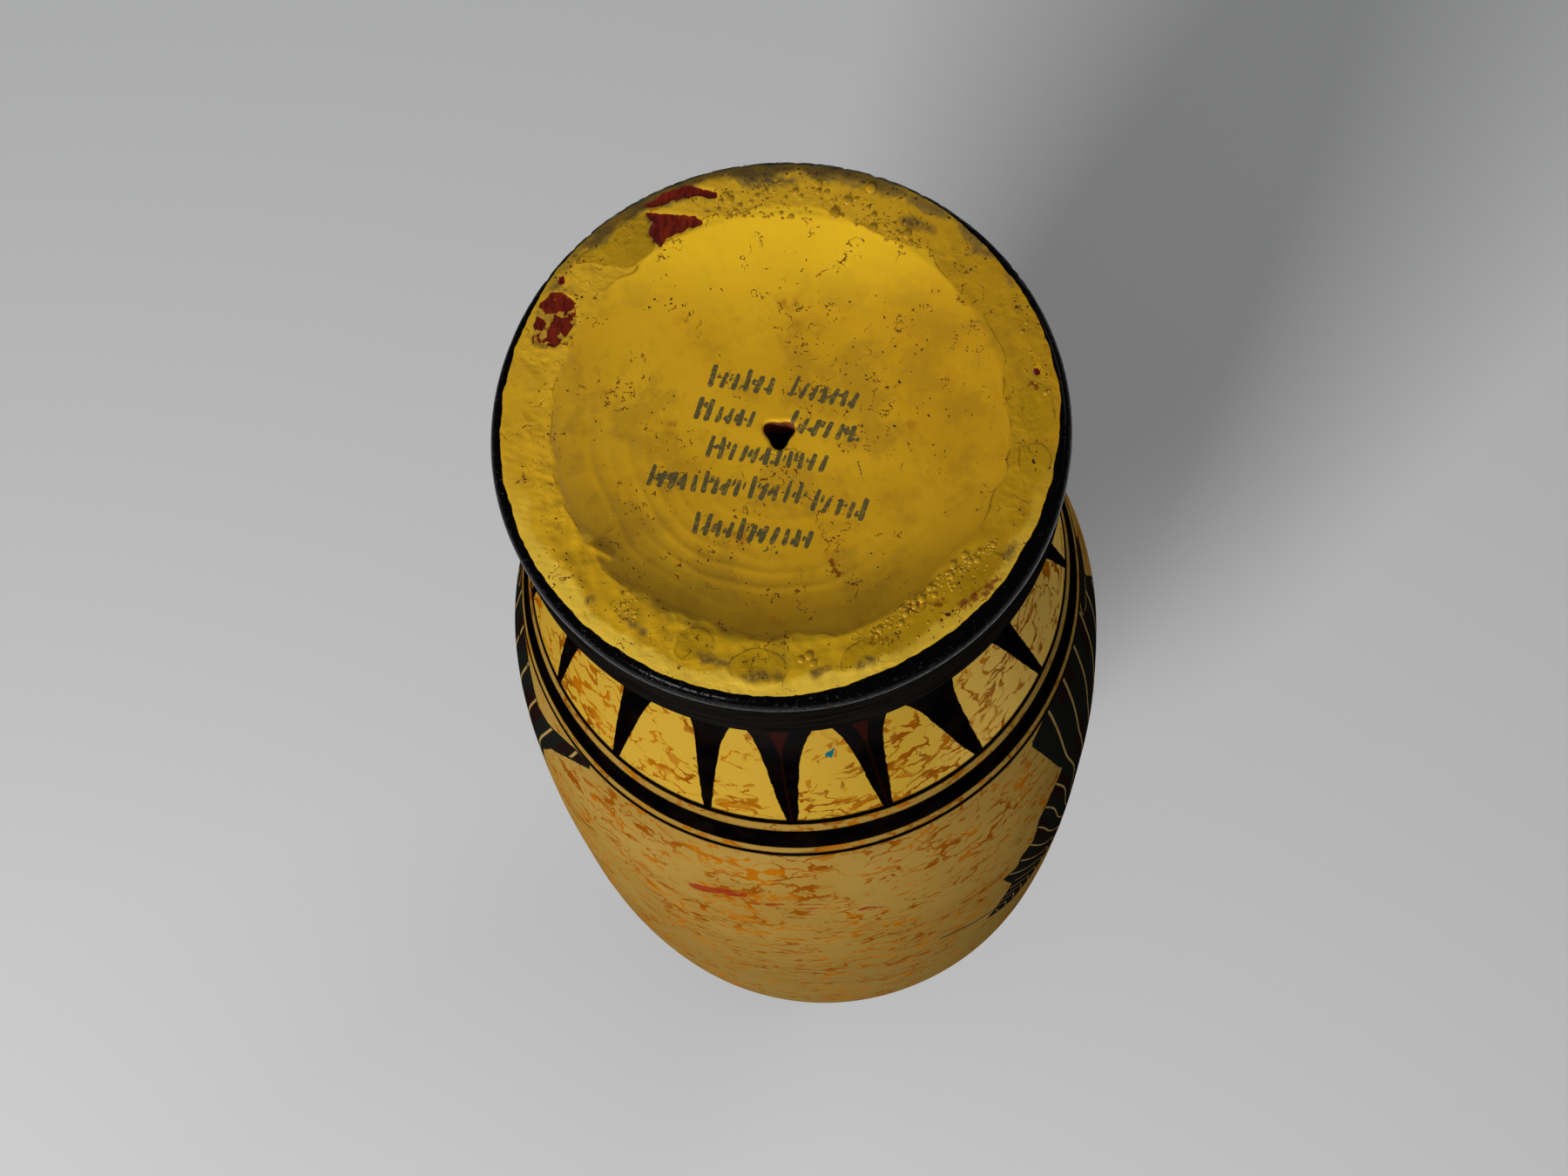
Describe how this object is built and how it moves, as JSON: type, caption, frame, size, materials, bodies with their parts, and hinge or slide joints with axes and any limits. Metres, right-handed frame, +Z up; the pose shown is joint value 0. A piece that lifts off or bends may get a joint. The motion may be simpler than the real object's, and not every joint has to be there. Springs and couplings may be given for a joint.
{
  "type": "souvenir lekythos (modern painted copy of a Greek oil flask)",
  "caption": "Souvenir ceramic lekythos: tall oil flask on a disc foot, narrow neck, cup mouth, one strap handle, cream ground with black rays and figures.",
  "frame": {"origin": "centre of the foot's standing ring, on the surface it stands on", "axes": "+Z up the vase's axis from foot to mouth, +Y to the back where the handle is, -Y to the painted front"},
  "size_m": [0.1088, 0.1088, 0.3342],
  "materials": {
    "painted_ceramic": "glazed earthenware, cream and yellow lacquered ground with black paint"
  },
  "bodies": {
    "root": {"lekythos": "painted_ceramic"}
  },
  "joints": []
}
